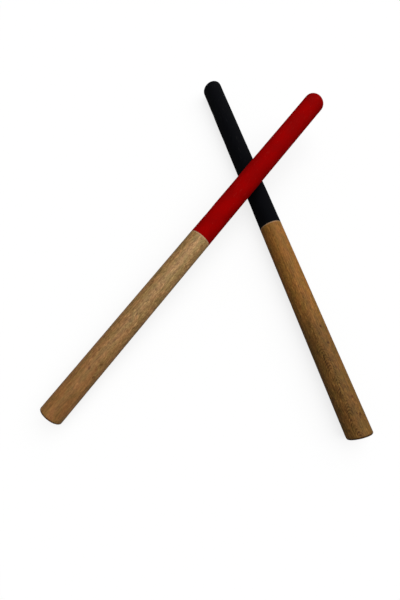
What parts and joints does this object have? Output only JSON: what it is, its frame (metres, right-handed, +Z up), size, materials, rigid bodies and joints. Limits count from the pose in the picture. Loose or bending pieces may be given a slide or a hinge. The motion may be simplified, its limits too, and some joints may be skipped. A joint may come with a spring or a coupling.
{
  "type": "focus training sticks",
  "caption": "Focus training sticks for boxing and martial arts coaching: bare beech handles and padded, rubber-covered striking halves in black and red, laid crossed.",
  "frame": {"origin": "on the floor, under the middle of the crossed pair's bounding box", "axes": "+Z up; +Y along the pair's longest side, from the butts towards the tips; +X to the right of someone looking along +Y"},
  "size_m": [0.4022, 0.5832, 0.0759],
  "materials": {
    "black_stick_beech": "satin",
    "red_stick_beech": "satin",
    "foam": "matte",
    "black_rubber": "matte",
    "red_rubber": "matte"
  },
  "bodies": {
    "black_stick": {"black_shaft": "black_stick_beech", "black_foam_sleeve": "foam", "black_tip_plug": "foam", "black_cover": "black_rubber"},
    "red_stick": {"red_shaft": "red_stick_beech", "red_foam_sleeve": "foam", "red_tip_plug": "foam", "red_cover": "red_rubber"}
  },
  "joints": [
    {"name": "red_stick_lift", "type": "slide", "parent": "black_stick", "child": "red_stick", "axis": [0, 0, 1], "range_m": [0, 0.12]}
  ]
}
